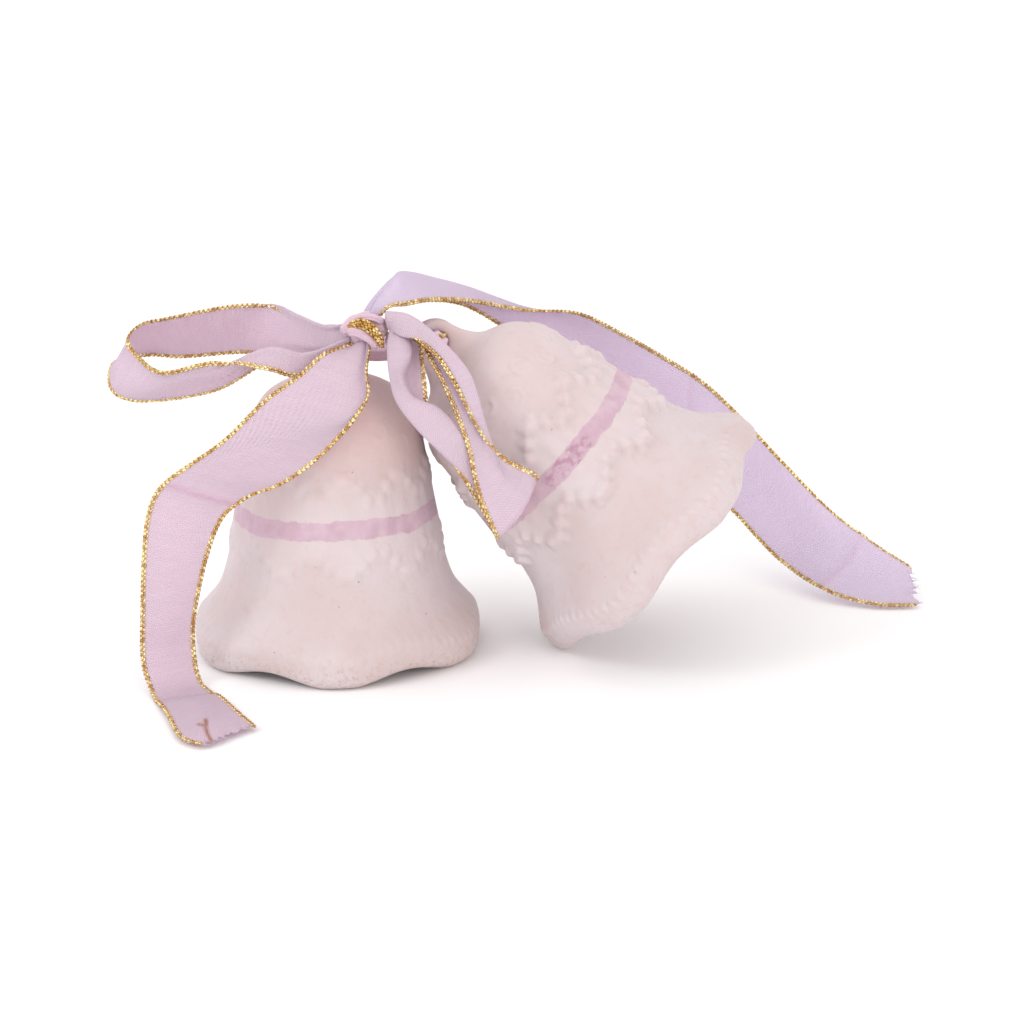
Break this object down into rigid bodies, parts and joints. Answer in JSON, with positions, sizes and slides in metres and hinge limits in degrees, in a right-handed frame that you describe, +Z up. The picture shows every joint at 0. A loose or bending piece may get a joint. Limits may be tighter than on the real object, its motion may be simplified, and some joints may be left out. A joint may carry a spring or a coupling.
{
  "type": "porcelain bell pair",
  "caption": "Pair of small unglazed porcelain bells with scalloped rims and moulded lace relief, tied together by a gold-edged ribbon bow; each bell swings on the ribbon and holds a clapper.",
  "frame": {"origin": "on the table plane, under the middle of the whole object's box", "axes": "+Z up, -Y towards the viewer of the picture, +X to the viewer's right, from the standing bell to the leaning bell"},
  "size_m": [0.167, 0.1, 0.075],
  "materials": {
    "bisque": "unglazed matte bisque porcelain with a faint pink cast",
    "plaster": "matte plaster",
    "wire": "satin",
    "ribbon": "sheer woven gauze, lilac pink",
    "gold_braid": "braided metallic gold thread"
  },
  "bodies": {
    "bow": {"left_loop_ribbon": "ribbon", "left_loop_upper_braid": "gold_braid", "left_loop_lower_braid": "gold_braid", "right_loop_ribbon": "ribbon", "right_loop_outer_braid": "gold_braid", "right_loop_inner_braid": "gold_braid", "left_tail_ribbon": "ribbon", "left_tail_outer_braid": "gold_braid", "left_tail_inner_braid": "gold_braid", "right_tail_ribbon": "ribbon", "right_tail_upper_braid": "gold_braid", "right_tail_lower_braid": "gold_braid", "knot_wrap": "ribbon", "knot_braid_bunch": "gold_braid", "lug_ribbon": "ribbon"},
    "left_bell": {"left_bell_shell": "bisque", "left_crown_plug": "plaster"},
    "left_eye": {"left_wire_eye": "wire"},
    "left_clapper": {"left_clapper_wire": "wire", "left_clapper_ball": "bisque", "left_clapper_crimp": "wire"},
    "right_bell": {"right_bell_shell": "bisque", "right_crown_plug": "plaster"},
    "right_eye": {"right_wire_eye": "wire"},
    "right_clapper": {"right_clapper_wire": "wire", "right_clapper_ball": "bisque", "right_clapper_crimp": "wire"}
  },
  "joints": [
    {"name": "left_bell_swing", "type": "hinge", "parent": "bow", "child": "left_bell", "pos_m": [-0.03883, 0.00887, 0.0607], "axis": [0.4384, 0.8988, 0], "range_deg": [0, 15]},
    {"name": "right_bell_swing", "type": "hinge", "parent": "bow", "child": "right_bell", "pos_m": [-0.01863, 0.00957, 0.0617], "axis": [0.1111, -0.9863, 0.1221], "range_deg": [0, 22]},
    {"name": "left_eye_turn", "type": "hinge", "parent": "left_bell", "child": "left_eye", "pos_m": [-0.03883, 0.00887, 0.0607], "axis": [0, 0, 1], "continuous": true},
    {"name": "right_eye_turn", "type": "hinge", "parent": "right_bell", "child": "right_eye", "pos_m": [-0.01863, 0.00957, 0.0617], "axis": [-0.7396, 0, 0.673], "continuous": true},
    {"name": "left_clapper_swing", "type": "hinge", "parent": "left_eye", "child": "left_clapper", "pos_m": [-0.03883, 0.00887, 0.045], "axis": [0, 1, 0], "range_deg": [-26, 26]},
    {"name": "right_clapper_swing", "type": "hinge", "parent": "right_eye", "child": "right_clapper", "pos_m": [-0.00702, 0.00957, 0.05113], "axis": [0, -1, 0], "range_deg": [0, 52]}
  ]
}
